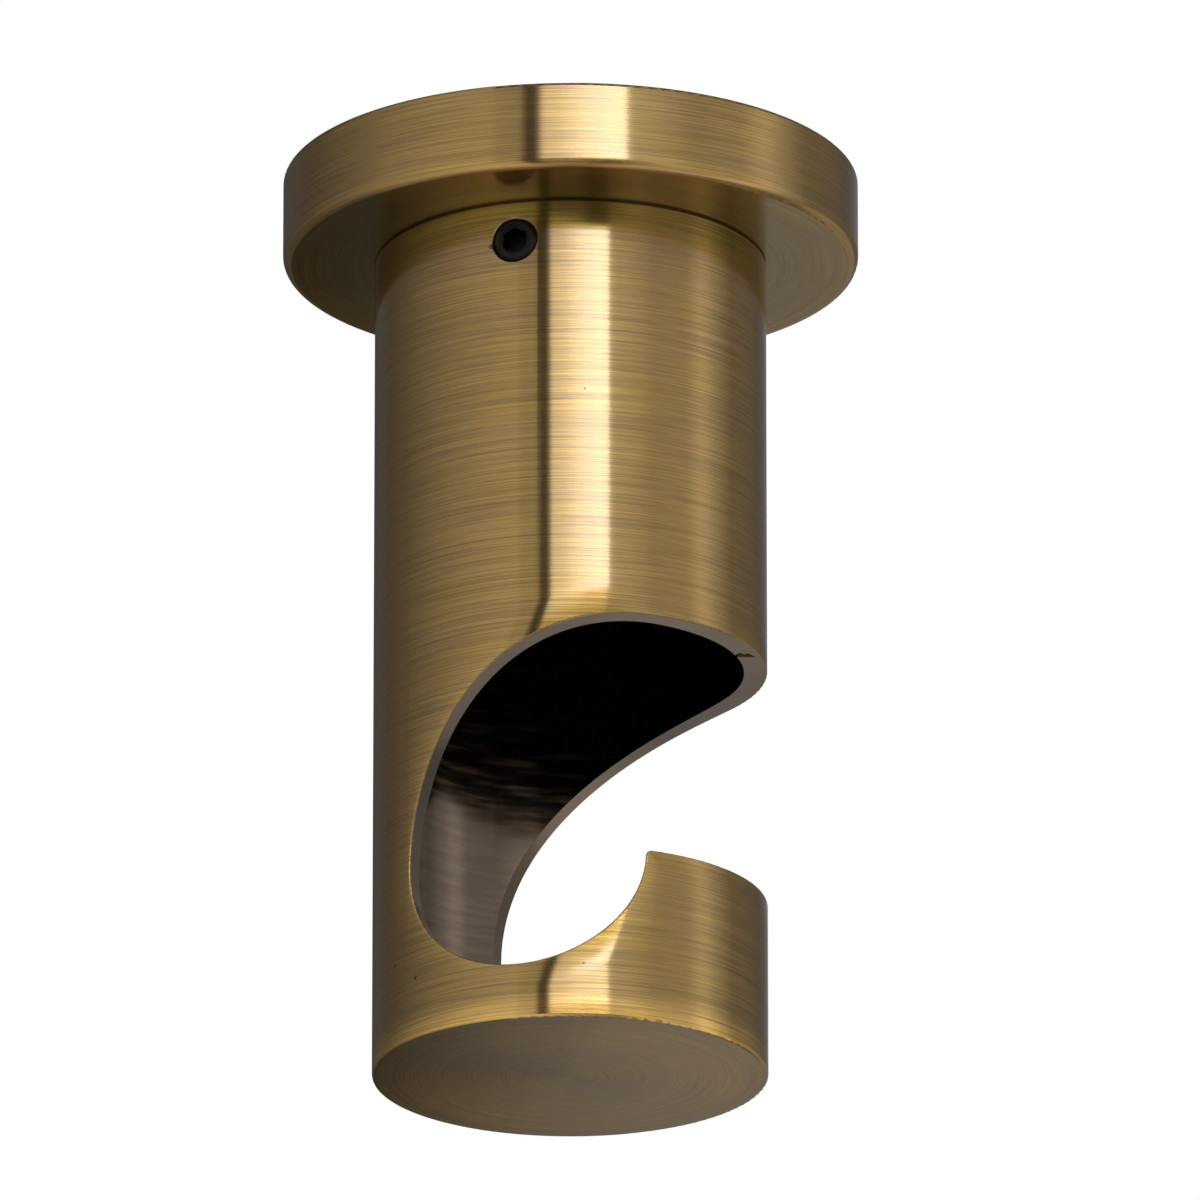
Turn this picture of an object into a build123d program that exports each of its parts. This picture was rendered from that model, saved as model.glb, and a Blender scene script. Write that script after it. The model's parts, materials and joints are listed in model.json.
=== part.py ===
from build123d import *
import math
import os

# Ceiling curtain rod bracket: a round plate against the ceiling, and a tube under it with a side mouth
# and a round seat for the rod. Sizes are in millimetres. Z is up, the ceiling face lies at z = 0, the rod
# runs along Y, it comes in from +X, and the grub screw faces -Y.

# Ceiling plate
plate_diameter = 62.4
plate_thickness = 9.6
plate_upper_edge_round = 0.4
plate_lower_edge_round = 1.0

# Spigot under the plate, which the tube slips over
spigot_length = 10.0
spigot_wall = 5.5
spigot_clearance = 0.2
spigot_lead_in = 0.8

# Countersunk holes for the two ceiling screws, inside the spigot
screw_hole_diameter = 4.5
screw_head_diameter = 8.6
screw_spacing = 16.0

# Tube
tube_diameter = 42.4
tube_wall = 2.5
tube_upper_edge_break = 0.25
tube_lower_edge_round = 0.3

# Rod, its seat and the mouth that it enters by
rod_diameter = 25.0
rod_clearance = 0.5
rod_drop = 82.8
seat_offset = 0.25
mouth_clearance = 1.5
hook_tip_round = 0.6
cut_edge_round = 0.15
metal_under_seat = 6.1

# Pit in the tube's weld seam, where the mouth's upper edge crosses it
pit_length = 2.0
pit_width = 1.5
pit_depth = 3.0

# End cap, welded into the tube's lower end and ground flush
cap_thickness = 3.0

# Socket grub screw, which locks the tube to the spigot
grub_diameter = 4.85
grub_length = 5.0
grub_drop = 4.4
grub_end_chamfer = 0.4
grub_socket_width = 2.5
grub_socket_depth = 2.4
grub_socket_lead_in = 0.15
thread_clearance = 0.05
grub_hole_edge_break = 0.12
groove_clearance = 0.3
groove_flank_run = 0.8

# Places worked out from the sizes above
plate_radius = plate_diameter / 2
tube_radius = tube_diameter / 2
bore_radius = tube_radius - tube_wall
spigot_radius = bore_radius - spigot_clearance
spigot_bore_radius = spigot_radius - spigot_wall
seat_radius = rod_diameter / 2 + rod_clearance
mouth_height = rod_diameter + mouth_clearance
tube_top = -plate_thickness
seat_z = -rod_drop
mouth_top = seat_z + mouth_height
tube_bottom = seat_z - seat_radius - metal_under_seat
tube_length = tube_top - tube_bottom
grub_z = tube_top - grub_drop
groove_radius = tube_radius - grub_length
past_surface = 1.0


def rims_of(solid, radius):
    """Circular edges of one radius, lowest first."""
    circles = solid.edges().filter_by(GeomType.CIRCLE)
    return circles.filter_by(lambda rim: abs(rim.radius - radius) < 0.001).sort_by(Axis.Z)


def on_outside(edge):
    """True for a curved edge that lies on the tube's outer surface."""
    points = [edge @ 0, edge @ 0.5, edge @ 1]
    return edge.geom_type != GeomType.LINE and all(
        abs(math.hypot(point.X, point.Y) - tube_radius) < 0.001 for point in points
    )


def spigot_section():
    """Half section of the plate and its spigot, from the axis outwards."""
    half_groove = grub_diameter / 2 + groove_clearance
    spigot_end = tube_top - spigot_length
    return Polyline(
        (0, 0),
        (plate_radius, 0),
        (plate_radius, tube_top),
        (spigot_radius, tube_top),
        (spigot_radius, grub_z + half_groove + groove_flank_run),
        (groove_radius, grub_z + half_groove),
        (groove_radius, grub_z - half_groove),
        (spigot_radius, grub_z - half_groove - groove_flank_run),
        (spigot_radius, spigot_end + spigot_lead_in),
        (spigot_radius - spigot_lead_in, spigot_end),
        (spigot_bore_radius, spigot_end),
        (spigot_bore_radius, tube_top),
        (0, tube_top),
        close=True,
    )


def screw_hole():
    """Countersunk hole through the plate, its head side down."""
    sink_depth = (screw_head_diameter - screw_hole_diameter) / 2
    shank = Cylinder(
        screw_hole_diameter / 2,
        plate_thickness,
        align=(Align.CENTER, Align.CENTER, Align.MIN),
    )
    head = Cone(
        screw_head_diameter / 2,
        screw_hole_diameter / 2,
        sink_depth,
        align=(Align.CENTER, Align.CENTER, Align.MIN),
    )
    return Pos(0, 0, tube_top) * (shank + head)


def ceiling_plate():
    """Turned plate with a hollow spigot, a grub screw groove and two countersunk holes."""
    plate = revolve(make_face(Plane.XZ * spigot_section()), Axis.Z, 360)
    plate = fillet(rims_of(plate, plate_radius)[0], plate_lower_edge_round)
    plate = fillet(rims_of(plate, plate_radius)[-1], plate_upper_edge_round)
    for side in (-1, 1):
        plate -= Pos(side * screw_spacing / 2, 0, 0) * screw_hole()
    return plate


def mouth_face():
    """Outline of the cut, seen along the rod: round seat, hook top, level upper edge and the sweep."""
    seat_left = seat_offset - seat_radius
    seat_right = seat_offset + seat_radius
    sweep_x = seat_left + mouth_height
    far_x = max(tube_radius, sweep_x) + past_surface
    seat = CenterArc((seat_offset, seat_z), seat_radius, 180, 180)
    sweep = CenterArc((sweep_x, seat_z), mouth_height, 90, 90)
    ends = Polyline((sweep_x, mouth_top), (far_x, mouth_top), (far_x, seat_z), (seat_right, seat_z))
    face = make_face(Curve() + [seat, sweep, ends])
    tip = face.vertices().sort_by_distance((seat_right, seat_z, 0))[0]
    return fillet(tip, hook_tip_round)


def seam_pit():
    """Ragged pit in the weld seam, open to the bore and closed before it reaches the outside."""
    outline = Polyline(
        (bore_radius - past_surface, -pit_width / 3),
        (bore_radius, -pit_width / 2),
        (bore_radius + pit_length / 3, -pit_width),
        (bore_radius + pit_length / 2, -pit_width / 2),
        (bore_radius + 3 * pit_length / 4, -2 * pit_width / 3),
        (bore_radius + pit_length, pit_width / 3),
        (bore_radius, -pit_width / 8),
        close=True,
    )
    pit = extrude(make_face(outline), pit_depth + past_surface)
    return Pos(0, 0, mouth_top - past_surface) * pit


def grub_hole():
    """Tapped hole through the tube's front wall."""
    radius = grub_diameter / 2 + thread_clearance
    hole = Cylinder(
        radius,
        tube_radius + past_surface,
        rotation=(90, 0, 0),
        align=(Align.CENTER, Align.CENTER, Align.MIN),
    )
    return Pos(0, 0, grub_z) * hole


def body_tube():
    """Welded tube, with the rod's seat and mouth cut right through it and the grub screw's hole."""
    tube = Cylinder(tube_radius, tube_length) - Cylinder(bore_radius, tube_length)
    tube = Pos(0, 0, (tube_top + tube_bottom) / 2) * tube
    tube = fillet(rims_of(tube, tube_radius)[0], tube_lower_edge_round)
    tube = chamfer(rims_of(tube, tube_radius)[-1], tube_upper_edge_break)
    mouth = extrude(Plane.XZ * mouth_face(), tube_radius + past_surface, both=True)
    cut_tube = tube - mouth
    cut_edges = new_edges(tube, mouth, combined=cut_tube).filter_by(on_outside)
    cut_tube = fillet(cut_edges, cut_edge_round)
    drilled_tube = cut_tube - grub_hole()
    hole_edge = new_edges(cut_tube, grub_hole(), combined=drilled_tube).sort_by(Axis.Y)[0]
    drilled_tube = chamfer(hole_edge, grub_hole_edge_break)
    return drilled_tube - seam_pit()


def end_cap():
    """Round cap in the tube's lower end."""
    cap = Cylinder(bore_radius, cap_thickness, align=(Align.CENTER, Align.CENTER, Align.MIN))
    return Pos(0, 0, tube_bottom) * cap


def grub_screw():
    """Flat-point socket grub screw, flush with the tube and seated in the spigot's groove."""
    screw = Cylinder(grub_diameter / 2, grub_length, align=(Align.CENTER, Align.CENTER, Align.MAX))
    screw = chamfer(screw.edges().filter_by(GeomType.CIRCLE), grub_end_chamfer)
    socket = RegularPolygon(grub_socket_width / 2, 6, major_radius=False, rotation=30)
    screw -= extrude(socket, -grub_socket_depth)
    corner_radius = grub_socket_width / math.sqrt(3)
    lead_in = Cone(
        corner_radius - grub_socket_lead_in,
        corner_radius + grub_socket_lead_in,
        2 * grub_socket_lead_in,
    )
    screw -= lead_in
    return Pos(0, -tube_radius, grub_z) * Rot(90, 0, 0) * screw


os.makedirs("parts", exist_ok=True)
pieces = {
    "ceiling_plate": ceiling_plate(),
    "body_tube": body_tube(),
    "end_cap": end_cap(),
    "grub_screw": grub_screw(),
}
for name, solid in pieces.items():
    export_step(solid, f"parts/{name}.step")
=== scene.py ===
import json
import math
import bpy
from bpy.props import FloatProperty, FloatVectorProperty, PointerProperty
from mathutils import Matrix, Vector


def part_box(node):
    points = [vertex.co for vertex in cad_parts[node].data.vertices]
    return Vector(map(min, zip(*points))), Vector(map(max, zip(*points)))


bl_info = {
    "name": "Ceiling curtain rod bracket",
    "version": (1, 0, 0),
    "blender": (4, 5, 0),
    "location": "View3D > Sidebar > Bracket",
    "description": "Dresses the brass ceiling bracket and sets up its studio",
    "category": "3D View",
}

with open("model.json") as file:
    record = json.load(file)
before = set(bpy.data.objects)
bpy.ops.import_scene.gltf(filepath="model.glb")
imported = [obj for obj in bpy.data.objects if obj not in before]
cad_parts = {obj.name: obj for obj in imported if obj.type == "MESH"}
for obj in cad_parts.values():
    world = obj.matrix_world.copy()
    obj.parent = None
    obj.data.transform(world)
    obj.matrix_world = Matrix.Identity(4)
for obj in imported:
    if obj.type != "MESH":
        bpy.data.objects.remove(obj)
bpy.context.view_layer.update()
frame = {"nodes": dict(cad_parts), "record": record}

MM = 0.001

# Places on the bracket, from the frame
TUBE_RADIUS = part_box("body_tube")[1].x
TUBE_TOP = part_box("body_tube")[1].z
TUBE_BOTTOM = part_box("body_tube")[0].z
BORE_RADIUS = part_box("end_cap")[1].x
PLATE_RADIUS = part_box("ceiling_plate")[1].x
GRUB_Z = (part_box("grub_screw")[0].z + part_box("grub_screw")[1].z) / 2

# Cut through the tube: the rod's seat, from the frame, and the mouth's height above the seat's middle
ROD_SEAT = next(mount for mount in frame["record"]["mounts"] if mount["name"] == "rod_seat")
SEAT_X = ROD_SEAT["pos_m"][0]
SEAT_Z = ROD_SEAT["pos_m"][2]
SEAT_RADIUS = ROD_SEAT["dims"]["r_mm"] * MM
MOUTH_HEIGHT = 26.5 * MM

# Specks in the finish: place and radius in millimetres
TUBE_SPECKS = (
    (-12.0, -17.5, -95.1, 0.3),
    (-15.0, -15.0, -92.7, 0.22),
    (7.4, -19.9, -96.0, 0.2),
    (7.5, -19.8, -31.3, 0.18),
    (-2.6, -21.0, -14.5, 0.4),
)
CAP_SPECKS = ((1.8, -9.7, -101.9, 0.25),)

# Tints that multiply the brass's colour
NO_TINT = (1, 1, 1)
BROWN_TINT = (0.98, 0.97, 1.05)
GOLDEN_TINT = (1.02, 1.03, 0.9)
# Painted shade on the plate's underside, darkest towards the tube
UNDERSIDE_SHADE_TINT = (0.7, 0.84, 0.88)
# Band on the tube below the joint: an olive tint with painted light, brighter than the brass
JOINT_OLIVE_AND_LIGHT_TINT = (1.1, 1.25, 1.18)
CAP_MIDDLE_TINT = (0.95, 0.97, 1.1)
CAP_OUTER_TINT = (1.2, 1.16, 1.06)

# Colours of their own
COPPER = (0.36, 0.17, 0.06)
SPECK_COLOUR = (0.06, 0.04, 0.015)
CUT_COLOUR = (0.29, 0.2, 0.11)
BORE_COLOURS = ((0.1, 0.064, 0.038), (0.145, 0.096, 0.06))
STEEL_COLOURS = ((0.006, 0.005, 0.0045), (0.015, 0.013, 0.012))
# Painted shade: near-black for the screw's socket and the ring round its mouth
SOCKET_SHADE_COLOUR = (0.001, 0.001, 0.001)

# Angles in the studio, in degrees: the turn to the right of the camera, and the rise above the horizon.
# A dark flag stands left of the key softbox, which is hottest at the top.
FLAG_LEFT, FLAG_RIGHT = -18.7, -11.9
KEY_LEFT, KEY_RIGHT = -12, 22.4
KEY_LOW, KEY_HOT, KEY_HIGH = 16.85, 21.4, 22.9

# Upright panels in the studio's walls: level, first and last turn, and the fades at those two sides.
# A side at ROUND_THE_BACK never comes, so its panel goes on to the middle of the back.
ROUND_THE_BACK = 400
FRONT_PANELS = (
    (0.72, -80, -30.5, 120, 2),
    (0.56, -30.5, FLAG_LEFT, 2, 0.8),
    (0.53, FLAG_RIGHT, 99, 0.8, 24),
    (0.38, 77, 88, 14, 14),
    (0.12, 20, 47, 4, 10),
    (-0.48, 9, KEY_RIGHT, 8, 1.6),
)
SIDE_PANELS = (
    (0.15, -ROUND_THE_BACK, ROUND_THE_BACK, 1, 1),
    (-0.09, FLAG_LEFT, FLAG_RIGHT, 0.8, 0.8),
    (0.16, 90, 135, 30, 50),
    (0.05, 158, ROUND_THE_BACK, 24, 24),
    (-0.08, -ROUND_THE_BACK, -155, 30, 30),
)
BACK_PANELS = (
    (0.42, 105, ROUND_THE_BACK, 30, 30),
    (0.14, -ROUND_THE_BACK, -105, 30, 30),
)
KEY_SPILL = (
    (0.155, FLAG_RIGHT, 4, 0.8, 18),
    (0.055, 8, 34, 26, 28),
)


class BRACKET_PG_brass(bpy.types.PropertyGroup):
    """Antique brass, brushed round the axis and lacquered."""

    colour: FloatVectorProperty(
        name="Colour",
        description="Mean colour of the brushed metal",
        subtype="COLOR",
        size=3,
        min=0,
        max=1,
        default=(0.34, 0.207, 0.051),
    )
    edge_tint: FloatVectorProperty(
        name="Edge tint",
        description="Tint of the metal's reflections at a grazing angle",
        subtype="COLOR",
        size=3,
        min=0,
        max=1,
        default=(0.6, 0.46, 0.26),
    )
    roughness: FloatProperty(
        name="Roughness",
        description="Roughness of the brushed metal, which is spread across the brush lines",
        default=0.22,
        min=0,
        max=1,
        subtype="FACTOR",
    )
    anisotropy: FloatProperty(
        name="Anisotropy",
        description="How far the reflections are drawn out across the brush lines",
        default=1.0,
        min=0,
        max=1,
        subtype="FACTOR",
    )
    lacquer_roughness: FloatProperty(
        name="Lacquer roughness",
        description="Roughness of the clear lacquer",
        default=0.12,
        min=0,
        max=1,
        subtype="FACTOR",
    )
    streak_width: FloatProperty(
        name="Streak width",
        description="Typical width of one brush line",
        default=0.085 * MM,
        min=0.01 * MM,
        subtype="DISTANCE",
        unit="LENGTH",
    )
    streak_length: FloatProperty(
        name="Streak length",
        description="Typical length of one brush line",
        default=14 * MM,
        min=0.1 * MM,
        subtype="DISTANCE",
        unit="LENGTH",
    )
    streak_contrast: FloatProperty(
        name="Streak contrast",
        description="How much lighter or darker a brush line is than the mean",
        default=0.36,
        min=0,
        max=1,
        subtype="FACTOR",
    )
    streak_depth: FloatProperty(
        name="Streak depth",
        description="Depth of one brush line",
        default=0.0002 * MM,
        min=0,
        precision=6,
        subtype="DISTANCE",
        unit="LENGTH",
    )
    # Lighter edges: partly patina rubbed off, partly painted sheen where the rounded edges catch light
    rubbed_and_sheen_gain: FloatProperty(
        name="Rubbed edges",
        description="How much brighter the metal is at an edge where the patina is rubbed off",
        default=1.0,
        min=0,
        max=2,
    )


class BRACKET_PG_studio(bpy.types.PropertyGroup):
    """Camera and light."""

    azimuth: FloatProperty(
        name="Camera azimuth",
        description="How far the camera stands round from the grub screw's side",
        default=math.radians(16.5),
        subtype="ANGLE",
        unit="ROTATION",
    )
    elevation: FloatProperty(
        name="Camera elevation",
        description="The camera's height above the horizon, seen from the object",
        default=math.radians(-19.25),
        subtype="ANGLE",
        unit="ROTATION",
    )
    distance: FloatProperty(
        name="Camera distance",
        description="From the camera to the point that it aims at",
        default=2.014,
        min=0.1,
        subtype="DISTANCE",
        unit="LENGTH",
    )
    aim_height: FloatProperty(
        name="Camera aim height",
        description="Height of the point that the camera aims at",
        default=-47.9 * MM,
        subtype="DISTANCE",
        unit="LENGTH",
    )
    side_step: FloatProperty(
        name="Camera side step",
        description="How far to the right of the object's axis the camera stands and aims",
        default=3.19 * MM,
        subtype="DISTANCE",
        unit="LENGTH",
    )
    lens: FloatProperty(
        name="Lens",
        description="Focal length in millimetres on a 36 mm sensor",
        default=560.5,
        min=10,
    )
    key: FloatProperty(
        name="Key light",
        description="Brightness of the key softbox",
        default=11.0,
        min=0,
    )
    fill: FloatProperty(
        name="Fill light",
        description="Brightness of the studio's walls and table",
        default=1.0,
        min=0,
    )


def build_nodes(tree):
    """Function that adds a node to a tree, with its settings and what feeds its inputs."""

    def add(kind, inputs=(), **settings):
        node = tree.nodes.new(kind)
        for name, value in settings.items():
            setattr(node, name, value)
        for key, value in dict(inputs).items():
            feed(node.inputs[key], value)
        return node

    def feed(socket, value):
        if isinstance(value, bpy.types.NodeSocket):
            tree.links.new(value, socket)
        else:
            socket.default_value = value

    add.feed = feed
    return add


def calculate(add, operation, *values, clamp=False):
    """Output of a maths node."""
    node = add("ShaderNodeMath", enumerate(values), operation=operation, use_clamp=clamp)
    return node.outputs[0]


def blend_colours(add, factor, first, second, kind="MIX"):
    """Output of a colour mix, from the first colour at 0 to the second at 1."""
    node = add("ShaderNodeMix", {"Factor": factor}, data_type="RGBA", blend_type=kind)
    for name, value in (("A", first), ("B", second)):
        socket = next(s for s in node.inputs if s.name == name and s.type == "RGBA")
        add.feed(socket, (*value, 1) if isinstance(value, tuple) else value)
    return next(s for s in node.outputs if s.type == "RGBA")


def multiply_colours(add, first, second):
    """Output of one colour multiplied by another."""
    return blend_colours(add, 1.0, first, second, "MULTIPLY")


def blend_values(add, factor, first, second):
    """Output that goes from the first value at factor 0 to the second at 1."""
    node = add("ShaderNodeMix", {"Factor": factor, "A": first, "B": second}, data_type="FLOAT")
    return node.outputs["Result"]


def ramp(add, value, low, high, to_low=0.0, to_high=1.0):
    """Value taken smoothly from the range low to high into another range."""
    node = add(
        "ShaderNodeMapRange",
        {"Value": value, "From Min": low, "From Max": high, "To Min": to_low, "To Max": to_high},
        interpolation_type="SMOOTHSTEP",
    )
    return node.outputs["Result"]


def noise(add, vector, detail=2.0, roughness=0.5):
    """Output of a noise texture at scale 1."""
    node = add(
        "ShaderNodeTexNoise",
        {"Vector": vector, "Scale": 1.0, "Detail": detail, "Roughness": roughness},
        noise_dimensions="3D",
    )
    return node.outputs["Fac"]


def length_of(add, x, z):
    """Length of a flat vector."""
    square = calculate(add, "MULTIPLY_ADD", x, x, calculate(add, "MULTIPLY", z, z))
    return calculate(add, "SQRT", square)


class Turned:
    """Coordinates of a turned piece: its axis, radius, height and the path across its brush lines."""

    def __init__(self, add):
        place = add("ShaderNodeTexCoord").outputs["Object"]
        split = add("ShaderNodeSeparateXYZ", {"Vector": place})
        flat = add(
            "ShaderNodeVectorMath", {0: place, 1: (1, 1, 0)}, operation="MULTIPLY"
        ).outputs[0]
        self.add = add
        self.place = place
        self.x, self.y, self.z = split.outputs
        self.radius = add("ShaderNodeVectorMath", {0: flat}, operation="LENGTH").outputs["Value"]
        self.across = calculate(add, "ADD", self.z, self.radius)

    def brushed(self, length, width, shift=0.0):
        """Coordinates for a noise drawn out along the brush lines."""
        add = self.add
        along_x = calculate(add, "MULTIPLY", self.x, 1 / length)
        along_y = calculate(add, "MULTIPLY_ADD", self.y, 1 / length, shift)
        across = calculate(add, "MULTIPLY", self.across, 1 / width)
        node = add("ShaderNodeCombineXYZ", {"X": along_x, "Y": along_y, "Z": across})
        return node.outputs[0]


def new_material(name):
    """Empty node material, and the function that adds nodes to it."""
    material = bpy.data.materials.new(name)
    material.use_nodes = True
    material.node_tree.nodes.clear()
    return material, build_nodes(material.node_tree)


def brush_lines(add, turned, brass):
    """Fine brush lines, sparse darker lines and large clouds, each from 0 to 1."""
    width, length = brass.streak_width, brass.streak_length
    short_length = 0.7 * length
    wide_share = 0.14
    fine = noise(add, turned.brushed(length, width), roughness=0.6)
    wide = noise(add, turned.brushed(2 * length, 3.5 * width, shift=7))
    tone = blend_values(add, wide_share, fine, wide)
    sparse = noise(add, turned.brushed(short_length, 2 * width, shift=31), detail=1.0)
    dark = ramp(add, sparse, 0.6, 0.78)
    cloud = noise(add, turned.brushed(short_length, 56 * width, shift=3))
    return tone, dark, cloud


def brushed_look(add, turned, brass, shades=(), relief=0.0):
    """Colour, roughness and normal of the brushed metal.

    Each of the shades is a mask with the gain where it is 1. The relief is a height for the normal.
    """
    tone_low, tone_high = 0.3, 0.7
    dark_gain, dark_depth = 0.93, 0.5
    contrast, roughness_contrast = brass.streak_contrast, 0.05
    tone, dark, cloud = brush_lines(add, turned, brass)
    shade = ramp(add, tone, tone_low, tone_high, 1 - contrast, 1 + contrast)
    for mask, gain in ((dark, dark_gain), *shades):
        shade = calculate(add, "MULTIPLY", shade, blend_values(add, mask, 1.0, gain))
    brown, golden = (
        tuple(part * factor for part, factor in zip(brass.colour, tint))
        for tint in (BROWN_TINT, GOLDEN_TINT)
    )
    warm = blend_colours(add, ramp(add, cloud, 0.35, 0.65), brown, golden)
    shaded = add("ShaderNodeVectorMath", {0: warm, "Scale": shade}, operation="SCALE")
    roughest = brass.roughness * (1 + roughness_contrast)
    smoothest = brass.roughness * (1 - roughness_contrast)
    rough = ramp(add, tone, tone_low, tone_high, roughest, smoothest)
    lines = calculate(add, "SUBTRACT", tone, calculate(add, "MULTIPLY", dark, dark_depth))
    height = calculate(add, "MULTIPLY_ADD", lines, brass.streak_depth, relief)
    bump = add("ShaderNodeBump", {"Height": height, "Distance": 1.0, "Strength": 1.0})
    return shaded.outputs[0], rough, bump.outputs[0]


def finish_material(add, brass, colour, roughness, normal):
    """Principled shader with the brass's drawn-out reflections and its lacquer."""
    tangent = add("ShaderNodeTangent", direction_type="RADIAL", axis="Z")
    shader = add(
        "ShaderNodeBsdfPrincipled",
        {
            "Base Color": colour,
            "Roughness": roughness,
            "Metallic": 1.0,
            "Specular Tint": (*brass.edge_tint, 1),
            "Normal": normal,
            "Anisotropic": brass.anisotropy,
            "Anisotropic Rotation": 0.25,
            "Tangent": tangent.outputs[0],
            "Coat Weight": 1.0,
            "Coat Roughness": brass.lacquer_roughness,
            "Coat IOR": 1.5,
            "Coat Normal": normal,
        },
    )
    add("ShaderNodeOutputMaterial", {"Surface": shader.outputs[0]})


def edge_wear(add, distance, width):
    """1 at an edge, falling to 0 at a width from it."""
    return calculate(add, "SUBTRACT", 1.0, calculate(add, "DIVIDE", distance, width), clamp=True)


def edge_drop(add, distance, width, slope):
    """Height of a surface that was buffed down towards its edge, steepest at the edge."""
    wear = edge_wear(add, distance, width)
    square = calculate(add, "MULTIPLY", wear, wear)
    return calculate(add, "MULTIPLY", square, -width * math.tan(math.radians(slope)) / 2)


def add_specks(add, turned, colour, specks):
    """Colour with small dark specks at places on the surface."""
    for x, y, z, radius in specks:
        place = (x * MM, y * MM, z * MM)
        away = add("ShaderNodeVectorMath", {0: turned.place, 1: place}, operation="DISTANCE")
        spot = ramp(add, away.outputs["Value"], radius * MM, 0.5 * radius * MM)
        colour = blend_colours(add, spot, colour, SPECK_COLOUR)
    return colour


def plate_material(name, brass):
    """Brushed and coppery at the lower rim, lighter there from rubbed wear and painted sheen, with
    painted shade darkening the underside towards the tube.
    """
    wear_and_sheen_height, copper_height, copper_share = 1.8 * MM, 0.35 * MM, 0.5
    rim_radius, shade_radius = PLATE_RADIUS - 0.5 * MM, TUBE_RADIUS + 3 * MM
    material, add = new_material(name)
    turned = Turned(add)
    above_rim = calculate(add, "SUBTRACT", turned.z, TUBE_TOP)
    side = ramp(add, turned.radius, PLATE_RADIUS - 1.2 * MM, rim_radius)
    # Lower rim lighter: partly rubbed wear, partly painted sheen
    rubbed = calculate(add, "MULTIPLY", side, edge_wear(add, above_rim, wear_and_sheen_height))
    shades = ((rubbed, 1 + 0.4 * brass.rubbed_and_sheen_gain),)
    colour, roughness, normal = brushed_look(add, turned, brass, shades)
    # Painted shade: the patina mask darkens the underside towards the tube
    below = ramp(add, above_rim, 0.3 * MM, 0.1 * MM)
    patina = calculate(add, "MULTIPLY", ramp(add, turned.radius, rim_radius, shade_radius), below)
    colour = multiply_colours(add, colour, blend_colours(add, patina, NO_TINT, UNDERSIDE_SHADE_TINT))
    copper = calculate(add, "MULTIPLY", ramp(add, above_rim, copper_height, 0.05 * MM), side)
    colour = blend_colours(add, calculate(add, "MULTIPLY", copper, copper_share), colour, COPPER)
    finish_material(add, brass, colour, roughness, normal)
    return material


def cap_material(name, brass):
    """Brushed in rings, duller and cooler towards the middle."""
    material, add = new_material(name)
    turned = Turned(add)
    colour, roughness, normal = brushed_look(add, turned, brass)
    outer = ramp(add, turned.radius, 2 * MM, 14 * MM)
    dull = blend_colours(add, outer, CAP_MIDDLE_TINT, CAP_OUTER_TINT)
    colour = multiply_colours(add, colour, dull)
    colour = add_specks(add, turned, colour, CAP_SPECKS)
    finish_material(add, brass, colour, roughness, normal)
    return material


def cut_distance(add, turned):
    """Distance from the outline of the tube's cut, seen along the rod."""
    sweep_x = SEAT_X - SEAT_RADIUS + MOUTH_HEIGHT
    rise = calculate(add, "SUBTRACT", turned.z, SEAT_Z)
    behind = calculate(add, "MINIMUM", calculate(add, "SUBTRACT", turned.x, sweep_x), 0.0)
    sweep = calculate(add, "SUBTRACT", length_of(add, behind, rise), MOUTH_HEIGHT)
    from_seat = calculate(add, "SUBTRACT", turned.x, SEAT_X)
    seat = calculate(add, "SUBTRACT", length_of(add, from_seat, rise), SEAT_RADIUS)
    hook_side = calculate(add, "MULTIPLY", turned.x, -1.0)
    hook_top = calculate(add, "MAXIMUM", calculate(add, "MULTIPLY", rise, -1.0), hook_side)
    below = calculate(add, "MINIMUM", seat, hook_top)
    return blend_values(add, calculate(add, "GREATER_THAN", rise, 0.0), below, sweep)


def bore_look(add, turned):
    """Colour, roughness and height of the unpolished bore, in smears drawn out round it."""
    smear_length, smear_width, smear_depth = 7 * MM, 0.8 * MM, 0.0035 * MM
    glossiest, dullest = 0.09, 0.2
    smear = noise(add, turned.brushed(smear_length, smear_width, shift=13), detail=3.0, roughness=0.55)
    colour = blend_colours(add, ramp(add, smear, 0.35, 0.65), *BORE_COLOURS)
    roughness = ramp(add, smear, 0.4, 0.8, glossiest, dullest)
    return colour, roughness, calculate(add, "MULTIPLY", smear, smear_depth)


def tube_shades(add, from_cut, from_rim, outside, brass):
    """Masks that brighten the tube's edges, partly rubbed wear and partly painted sheen, each with its
    gain.
    """
    cut_width, rim_width = 1.2 * MM, 3.2 * MM
    cut_gain, rim_gain = 1 + 0.15 * brass.rubbed_and_sheen_gain, 1 + 1.25 * brass.rubbed_and_sheen_gain
    cut_wear_and_sheen = calculate(add, "MULTIPLY", edge_wear(add, from_cut, cut_width), outside)
    above_face = ramp(add, from_rim, 0.02 * MM, 0.2 * MM)
    rim_wear_and_sheen = calculate(add, "MULTIPLY", edge_wear(add, from_rim, rim_width), above_face)
    return (rim_wear_and_sheen, rim_gain), (cut_wear_and_sheen, cut_gain)


def tube_relief(add, from_cut, from_rim, outside):
    """Height of the tube's outside, buffed down towards the cut and the lower rim."""
    cut_width, cut_slope = 3.2 * MM, 9
    rim_width, rim_slope = 1.8 * MM, 8
    cut_drop = edge_drop(add, from_cut, cut_width, cut_slope)
    rim_drop = edge_drop(add, from_rim, rim_width, rim_slope)
    return calculate(add, "MULTIPLY_ADD", cut_drop, outside, rim_drop)


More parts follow.
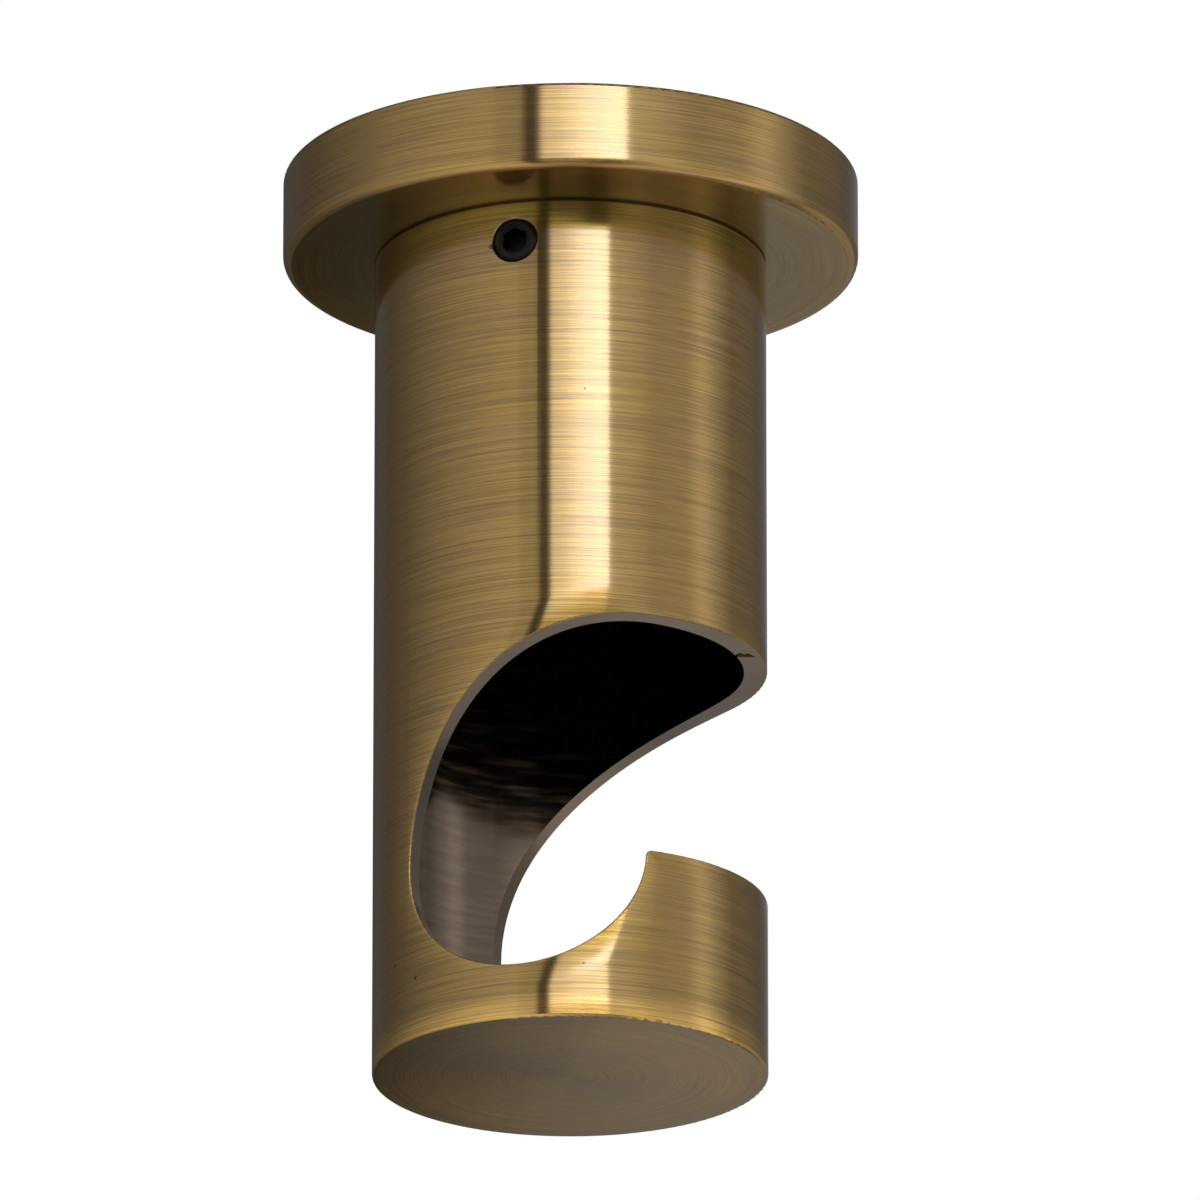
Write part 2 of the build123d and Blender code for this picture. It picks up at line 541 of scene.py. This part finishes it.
def tube_material(name, brass):
    """Brushed outside, buffed towards the edges and lighter there from wear and painted sheen, with
    painted light in a band below the joint, dark satin on the cut, dark gloss in the bore.
    """
    cut_roughness = 0.45
    material, add = new_material(name)
    turned = Turned(add)
    from_cut = cut_distance(add, turned)
    from_rim = calculate(add, "SUBTRACT", turned.z, TUBE_BOTTOM)
    outside = ramp(add, turned.radius, TUBE_RADIUS - 0.16 * MM, TUBE_RADIUS - 0.1 * MM)
    skin = calculate(add, "MAXIMUM", outside, ramp(add, from_rim, 1.2 * MM, 1 * MM))
    bore = ramp(add, turned.radius, BORE_RADIUS + 0.1 * MM, BORE_RADIUS + 0.03 * MM)
    bore_colour, bore_roughness, bore_height = bore_look(add, turned)
    relief = tube_relief(add, from_cut, from_rim, outside)
    relief = calculate(add, "MULTIPLY_ADD", bore_height, bore, relief)
    shades = tube_shades(add, from_cut, from_rim, outside, brass)
    colour, roughness, normal = brushed_look(add, turned, brass, shades, relief)
    # Painted light: a lighter olive band on the tube just below the joint
    joint_light_band = ramp(add, turned.z, TUBE_TOP - 4 * MM, TUBE_TOP - 1.5 * MM)
    colour = multiply_colours(add, colour, blend_colours(add, joint_light_band, NO_TINT, JOINT_OLIVE_AND_LIGHT_TINT))
    colour = add_specks(add, turned, colour, TUBE_SPECKS)
    inner_colour = blend_colours(add, bore, CUT_COLOUR, bore_colour)
    inner_roughness = blend_values(add, bore, cut_roughness, bore_roughness)
    colour = blend_colours(add, skin, inner_colour, colour)
    roughness = blend_values(add, skin, inner_roughness, roughness)
    finish_material(add, brass, colour, roughness, normal)
    return material


def grub_material(name):
    """Blackened steel, with painted shade that makes the socket and its mouth deep black."""
    fleck_size = 0.4 * MM
    smoothest, roughest = 0.38, 0.5
    shade_outer_radius, shade_inner_radius = 2.05 * MM, 1.5 * MM
    material, add = new_material(name)
    place = add("ShaderNodeTexCoord").outputs["Object"]
    grain = add("ShaderNodeVectorMath", {0: place, "Scale": 1 / fleck_size}, operation="SCALE")
    fleck = noise(add, grain.outputs[0], detail=3.0, roughness=0.6)
    split = add("ShaderNodeSeparateXYZ", {"Vector": place})
    rise = calculate(add, "SUBTRACT", split.outputs["Z"], GRUB_Z)
    from_axis = length_of(add, split.outputs["X"], rise)
    # Painted shade: a round zone over the socket and its mouth turns near-black
    socket = ramp(add, from_axis, shade_outer_radius, shade_inner_radius)
    steel = blend_colours(add, fleck, *STEEL_COLOURS)
    colour = blend_colours(add, socket, steel, SOCKET_SHADE_COLOUR)
    roughness = ramp(add, fleck, 0.3, 0.7, smoothest, roughest)
    shader = add(
        "ShaderNodeBsdfPrincipled", {"Base Color": colour, "Roughness": roughness, "Metallic": 0.6}
    )
    add("ShaderNodeOutputMaterial", {"Surface": shader.outputs[0]})
    return material


def dress(node, material):
    """Gives a CAD node its material."""
    piece = frame["nodes"][node]
    piece.data.materials.clear()
    piece.data.materials.append(material)


def step(value, place, soft):
    """0 below a place and 1 above it, smooth over a width."""
    t = min(max((value - place) / soft + 0.5, 0), 1)
    return t * t * (3 - 2 * t)


def window(value, low, high, soft, far_soft):
    """1 between low and high and 0 outside, with soft edges."""
    return step(value, low, soft) * (1 - step(value, high, far_soft))


def panel_level(turn, panels):
    """Brightness of a row of upright panels at a turn."""
    return sum(level * window(turn, *sides) for level, *sides in panels)


def wall_level(turn, rise):
    """Brightness of the studio's walls, dimmer low down in front, and of the table under the object."""
    low_front = 0.95 - 0.6 * window(turn, -15, 30, 20, 20)
    front = 0.95 * panel_level(turn, FRONT_PANELS)
    front *= low_front + (1 - low_front) * step(rise, 9, 10)
    side = panel_level(turn, SIDE_PANELS)
    back = panel_level(turn, BACK_PANELS) * window(rise, -40, -4, 12, 12)
    table = 0.3 * step(-rise, 45, 20)
    return front + max(side, back, table)


def key_level(turn, rise):
    """Brightness of the key softbox, which grows to the right and at the top, and of its spill."""
    across = window(turn, KEY_LEFT, KEY_RIGHT, 6, 1.6) * (0.1 + 0.9 * step(turn, 4, 24))
    upward = window(rise, KEY_LOW, KEY_HIGH, 1, 1) * (0.95 + 0.4 * step(rise, KEY_HOT, 0.8))
    spill = panel_level(turn, KEY_SPILL) * window(rise, 8, 30, 6, 6)
    return spill + across * upward


def glowing_mesh(name, points, faces, levels):
    """Stage object that glows by a level at each point, seen by the object but not by the camera."""
    mesh = bpy.data.meshes.new(name)
    mesh.from_pydata(points, [], faces)
    mesh.attributes.new("level", "FLOAT", "POINT").data.foreach_set("value", levels)
    item = bpy.data.objects.new(name, mesh)
    bpy.context.collection.objects.link(item)
    material, add = new_material(name)
    level = add("ShaderNodeAttribute", attribute_name="level").outputs["Fac"]
    glow = add("ShaderNodeEmission", {"Color": (1, 1, 1, 1), "Strength": level})
    add("ShaderNodeOutputMaterial", {"Surface": glow.outputs[0]})
    mesh.materials.append(material)
    item.visible_camera = False


def build_tent(studio):
    """Round studio tent: the walls, the table and the key softbox."""
    columns, rows, radius, height = 900, 180, 2.2, -50 * MM
    camera_turn = math.degrees(studio.azimuth)
    points, levels, faces = [], [], []
    for row in range(rows + 1):
        rise = -90 + 180 * row / rows
        level_radius = radius * math.cos(math.radians(rise))
        z = height + radius * math.sin(math.radians(rise))
        for column in range(columns):
            turn = -180 + 360 * column / columns
            angle = math.radians(camera_turn + turn)
            points.append((level_radius * math.sin(angle), -level_radius * math.cos(angle), z))
            levels.append(studio.fill * wall_level(turn, rise) + studio.key * key_level(turn, rise))
    for row in range(rows):
        for column in range(columns):
            a = row * columns + column
            b = row * columns + (column + 1) % columns
            faces.append((a, b, b + columns, a + columns))
    glowing_mesh("studio_tent", points, faces, levels)


def level_axes(azimuth):
    """Level directions to the camera's right and away from the camera."""
    right = Vector((math.cos(azimuth), math.sin(azimuth), 0))
    away = Vector((-math.sin(azimuth), math.cos(azimuth), 0))
    return right, away


def build_card(studio):
    """Card behind the object, shaded from dark on the left to pale."""
    behind, top, bottom = 130 * MM, -32 * MM, -170 * MM
    columns, width = 18, 90 * MM
    shade_middle, shade_width = -8 * MM, 46 * MM
    right, away = level_axes(studio.azimuth)
    points, levels, faces = [], [], []
    for column in range(columns + 1):
        x = width * (column / columns - 0.5)
        level = studio.fill * (0.045 + 0.335 * step(x, shade_middle, shade_width))
        for z in (top, bottom):
            points.append(away * behind + right * x + Vector((0, 0, z)))
            levels.append(level)
    for a in range(0, len(points) - 2, 2):
        faces.append((a, a + 1, a + 3, a + 2))
    glowing_mesh("card", points, faces, levels)


def background_rays(add):
    """1 for camera, glossy and transmission rays, which see the white background."""
    path = add("ShaderNodeLightPath")
    seen = calculate(add, "MAXIMUM", path.outputs["Is Camera Ray"], path.outputs["Is Glossy Ray"])
    return calculate(add, "MAXIMUM", seen, path.outputs["Is Transmission Ray"])


def build_floor():
    """Pale floor far below the ceiling that the bracket hangs from."""
    size, height = 30.0, -2.4
    corners = [(-size, -size, height), (size, -size, height), (size, size, height), (-size, size, height)]
    mesh = bpy.data.meshes.new("floor")
    mesh.from_pydata(corners, [], [(0, 1, 2, 3)])
    floor = bpy.data.objects.new("floor", mesh)
    bpy.context.collection.objects.link(floor)
    material, add = new_material("floor")
    matte = add("ShaderNodeBsdfDiffuse", {"Color": (0.8, 0.8, 0.8, 1)})
    glow = add("ShaderNodeEmission", {"Color": (1, 1, 1, 1), "Strength": 1.0})
    mix = add("ShaderNodeMixShader", {0: background_rays(add), 1: matte.outputs[0], 2: glow.outputs[0]})
    add("ShaderNodeOutputMaterial", {"Surface": mix.outputs[0]})
    mesh.materials.append(material)


def build_world():
    """White background and soft ambient light."""
    ambient_strength, background_strength = 0.8, 1.0
    world = bpy.data.worlds.new("studio")
    world.use_nodes = True
    world.node_tree.nodes.clear()
    add = build_nodes(world.node_tree)
    strength = blend_values(add, background_rays(add), ambient_strength, background_strength)
    sky = add("ShaderNodeBackground", {"Color": (1, 1, 1, 1), "Strength": strength})
    add("ShaderNodeOutputWorld", {"Surface": sky.outputs[0]})
    bpy.context.scene.world = world


def build_camera(studio):
    """Camera at the photograph's viewing angle, below the bracket."""
    right, away = level_axes(studio.azimuth)
    rise = Vector((0, 0, math.sin(studio.elevation)))
    back = rise - away * math.cos(studio.elevation)
    data = bpy.data.cameras.new("camera")
    data.sensor_width = 36
    data.lens = studio.lens
    data.clip_start, data.clip_end = 0.1, 200
    camera = bpy.data.objects.new("camera", data)
    aim = Vector((0, 0, studio.aim_height)) + right * studio.side_step
    camera.location = aim + back * studio.distance
    camera.rotation_euler = (-back).to_track_quat("-Z", "Y").to_euler()
    bpy.context.collection.objects.link(camera)
    bpy.context.scene.camera = camera


class BRACKET_OT_plate(bpy.types.Operator):
    """Dress the ceiling plate"""

    bl_idname = "bracket.plate"
    bl_label = "Ceiling plate"

    def execute(self, context):
        dress("ceiling_plate", plate_material("plate_brass", context.scene.bracket_brass))
        return {"FINISHED"}


class BRACKET_OT_tube(bpy.types.Operator):
    """Dress the tube and its end cap"""

    bl_idname = "bracket.tube"
    bl_label = "Tube and end cap"

    def execute(self, context):
        brass = context.scene.bracket_brass
        dress("body_tube", tube_material("tube_brass", brass))
        dress("end_cap", cap_material("cap_brass", brass))
        return {"FINISHED"}


class BRACKET_OT_grub_screw(bpy.types.Operator):
    """Dress the grub screw"""

    bl_idname = "bracket.grub_screw"
    bl_label = "Grub screw"

    def execute(self, context):
        dress("grub_screw", grub_material("blackened_steel"))
        return {"FINISHED"}


class BRACKET_OT_studio(bpy.types.Operator):
    """Build the floor, the light and the camera"""

    bl_idname = "bracket.studio"
    bl_label = "Studio"

    def execute(self, context):
        studio = context.scene.bracket_studio
        build_world()
        build_floor()
        build_tent(studio)
        build_card(studio)
        build_camera(studio)
        context.scene.view_settings.view_transform = "Standard"
        return {"FINISHED"}


class BRACKET_PT_panel(bpy.types.Panel):
    """Sizes and finish of the bracket"""

    bl_idname = "BRACKET_PT_panel"
    bl_label = "Ceiling bracket"
    bl_space_type = "VIEW_3D"
    bl_region_type = "UI"
    bl_category = "Bracket"

    def draw(self, context):
        for group in (context.scene.bracket_brass, context.scene.bracket_studio):
            box = self.layout.box()
            for name in group.__annotations__:
                box.prop(group, name)
        for operator in OPERATORS:
            self.layout.operator(operator.bl_idname)


OPERATORS = (BRACKET_OT_plate, BRACKET_OT_tube, BRACKET_OT_grub_screw, BRACKET_OT_studio)
CLASSES = (BRACKET_PG_brass, BRACKET_PG_studio, *OPERATORS, BRACKET_PT_panel)


def register():
    for item in CLASSES:
        bpy.utils.register_class(item)
    bpy.types.Scene.bracket_brass = PointerProperty(type=BRACKET_PG_brass)
    bpy.types.Scene.bracket_studio = PointerProperty(type=BRACKET_PG_studio)


def unregister():
    del bpy.types.Scene.bracket_studio
    del bpy.types.Scene.bracket_brass
    for item in reversed(CLASSES):
        bpy.utils.unregister_class(item)


def main():
    register()
    bpy.ops.bracket.plate()
    bpy.ops.bracket.tube()
    bpy.ops.bracket.grub_screw()
    bpy.ops.bracket.studio()


if __name__ == "__main__":
    main()
